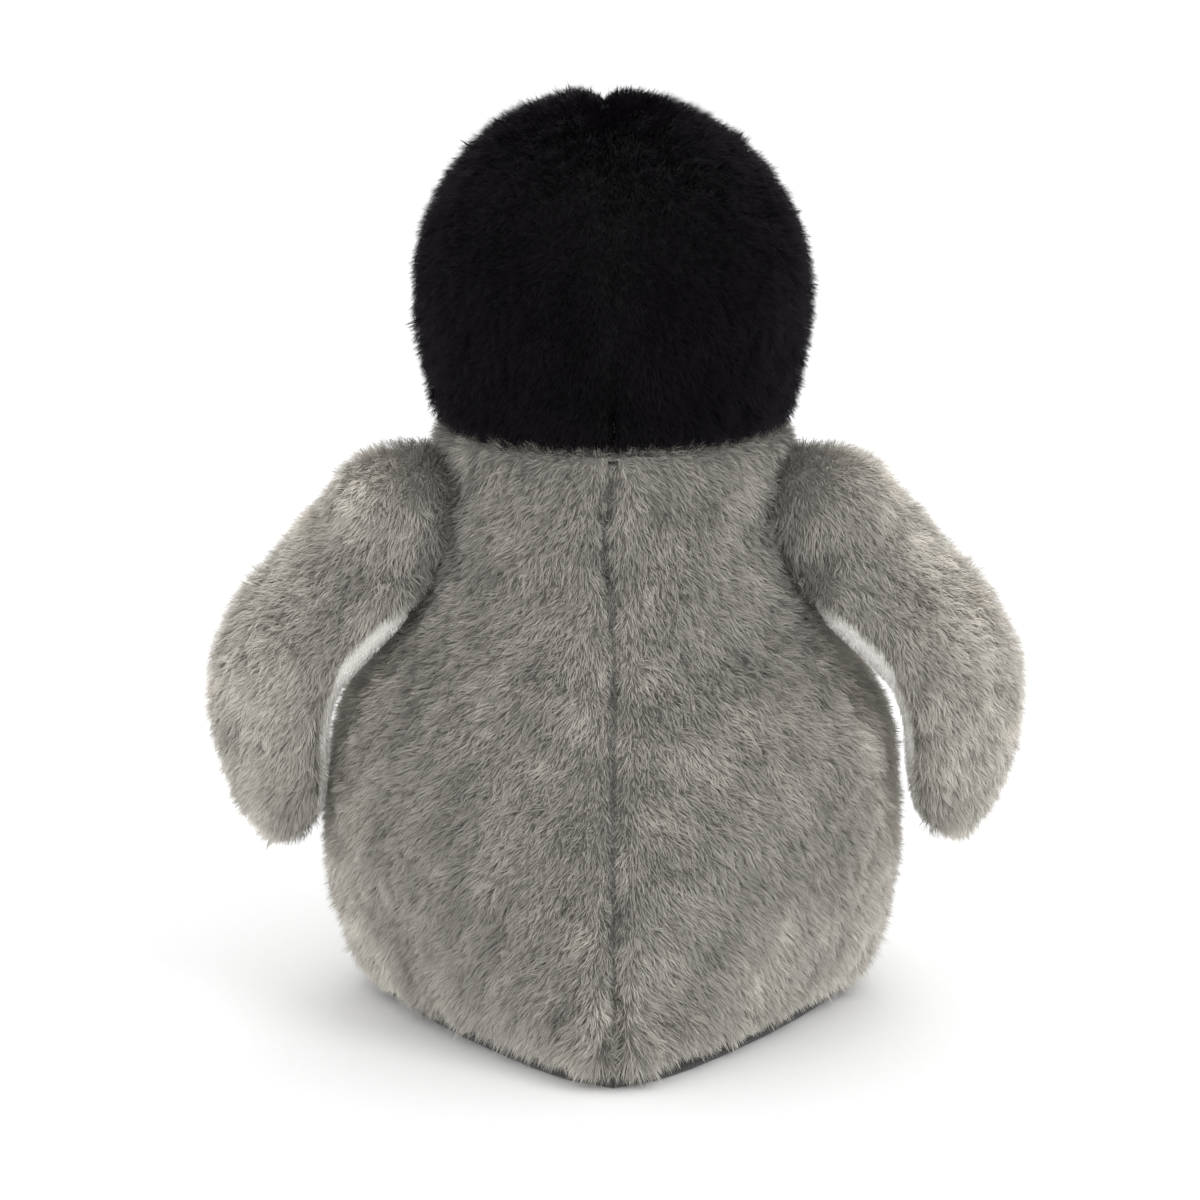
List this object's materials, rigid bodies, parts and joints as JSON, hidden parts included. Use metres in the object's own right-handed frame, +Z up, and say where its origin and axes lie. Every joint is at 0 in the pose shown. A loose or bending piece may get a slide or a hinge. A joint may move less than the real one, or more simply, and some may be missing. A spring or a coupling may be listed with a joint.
{
  "type": "plush penguin",
  "caption": "Sitting plush penguin chick: grey pile body, black cap, white cheeks, soft flippers and feet, turning head, dark flat base.",
  "frame": {"origin": "on the flat underside of the base panel, below the middle of the body", "axes": "+Z up, the face and the toes point along -Y, the tail corner along +Y, and the chick's left side is at +X"},
  "size_m": [0.2144, 0.1779, 0.24],
  "materials": {
    "grey_plush": "matte",
    "pale_plush": "matte",
    "black_plush": "matte",
    "white_plush": "matte",
    "dark_cloth": "matte",
    "dark_plush": "matte",
    "stuffing": "matte",
    "eye_plastic": "gloss",
    "washer_plastic": "satin",
    "pouch_cloth": "matte",
    "thread": "matte"
  },
  "bodies": {
    "torso": {"body_back_left": "grey_plush", "body_back_right": "grey_plush", "belly": "pale_plush", "base_panel": "dark_cloth", "body_stuffing": "stuffing", "pellet_pouch": "pouch_cloth", "closing_thread": "thread"},
    "head": {"head_cap_left": "black_plush", "head_cap_right": "black_plush", "cheek_left": "white_plush", "cheek_right": "white_plush", "head_stuffing": "stuffing", "eye_left": "eye_plastic", "eye_right": "eye_plastic", "eye_washer_left": "washer_plastic", "eye_washer_right": "washer_plastic", "beak_upper": "black_plush", "beak_lower": "black_plush", "beak_stuffing": "stuffing"},
    "flipper_left": {"flipper_outer_left": "grey_plush", "flipper_lining_left": "white_plush", "flipper_stuffing_left": "stuffing"},
    "flipper_right": {"flipper_outer_right": "grey_plush", "flipper_lining_right": "white_plush", "flipper_stuffing_right": "stuffing"},
    "foot_left": {"foot_top_left": "dark_plush", "foot_sole_left": "dark_cloth", "foot_stuffing_left": "stuffing"},
    "foot_right": {"foot_top_right": "dark_plush", "foot_sole_right": "dark_cloth", "foot_stuffing_right": "stuffing"}
  },
  "joints": [
    {"name": "head_turn", "type": "hinge", "parent": "torso", "child": "head", "pos_m": [0, 0, 0.156], "axis": [0, 0, 1], "range_deg": [-20, 20], "stiffness_Nm_per_rad": 0.08},
    {"name": "flipper_left_lift", "type": "hinge", "parent": "torso", "child": "flipper_left", "pos_m": [0.054, 0.013, 0.1325], "axis": [0, -1, 0], "range_deg": [0, 60], "stiffness_Nm_per_rad": 0.01},
    {"name": "flipper_right_lift", "type": "hinge", "parent": "torso", "child": "flipper_right", "pos_m": [-0.054, 0.013, 0.1325], "axis": [0, 1, 0], "range_deg": [0, 60], "stiffness_Nm_per_rad": 0.01},
    {"name": "foot_left_flap", "type": "hinge", "parent": "torso", "child": "foot_left", "pos_m": [0.03, -0.059, 0.0044], "axis": [-0.9848, -0.1736, 0], "range_deg": [0, 35], "stiffness_Nm_per_rad": 0.004},
    {"name": "foot_right_flap", "type": "hinge", "parent": "torso", "child": "foot_right", "pos_m": [-0.03, -0.059, 0.0044], "axis": [-0.9848, 0.1736, 0], "range_deg": [0, 35], "stiffness_Nm_per_rad": 0.004}
  ]
}
